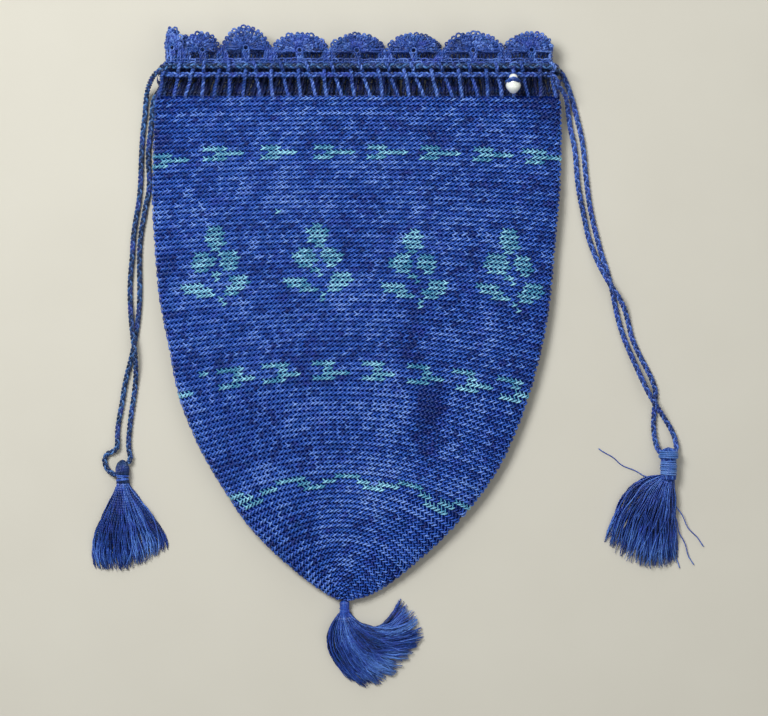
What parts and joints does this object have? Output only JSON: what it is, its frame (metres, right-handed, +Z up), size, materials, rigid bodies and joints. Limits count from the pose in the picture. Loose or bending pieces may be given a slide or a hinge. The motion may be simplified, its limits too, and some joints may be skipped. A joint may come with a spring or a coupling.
{
  "type": "reticule",
  "caption": "Flat crocheted drawstring purse with a rounded point, lace mouth, tasselled cords and a tassel at the point.",
  "frame": {"origin": "on the flat underside of the bag, near the middle of its length, where it rests on a table", "axes": "+Y towards the mouth, +Z up out of the front face, +X to the right of someone looking at the front"},
  "size_m": [0.2103, 0.2393, 0.0163],
  "materials": {
    "silk_body": "royal blue twisted silk in single crochet, with a teal pattern",
    "silk_lace": "royal blue silk in open crochet lace",
    "silk_cord": "dark blue plaited silk cord",
    "silk_tassel": "bright blue loose silk threads",
    "bead_white": "opaque white glass, polished"
  },
  "bodies": {
    "root": {"bag_body": "silk_body", "eyelet_band": "silk_lace", "shell_edging": "silk_lace", "left_drawstring_run": "silk_cord", "right_drawstring_run": "silk_cord", "left_cord_front": "silk_cord", "left_cord_back": "silk_cord", "right_cord_front": "silk_cord", "right_cord_back": "silk_cord", "left_tassel": "silk_tassel", "right_tassel": "silk_tassel", "point_tassel": "silk_tassel", "white_bead": "bead_white", "bead_thread": "silk_cord"}
  },
  "joints": []
}
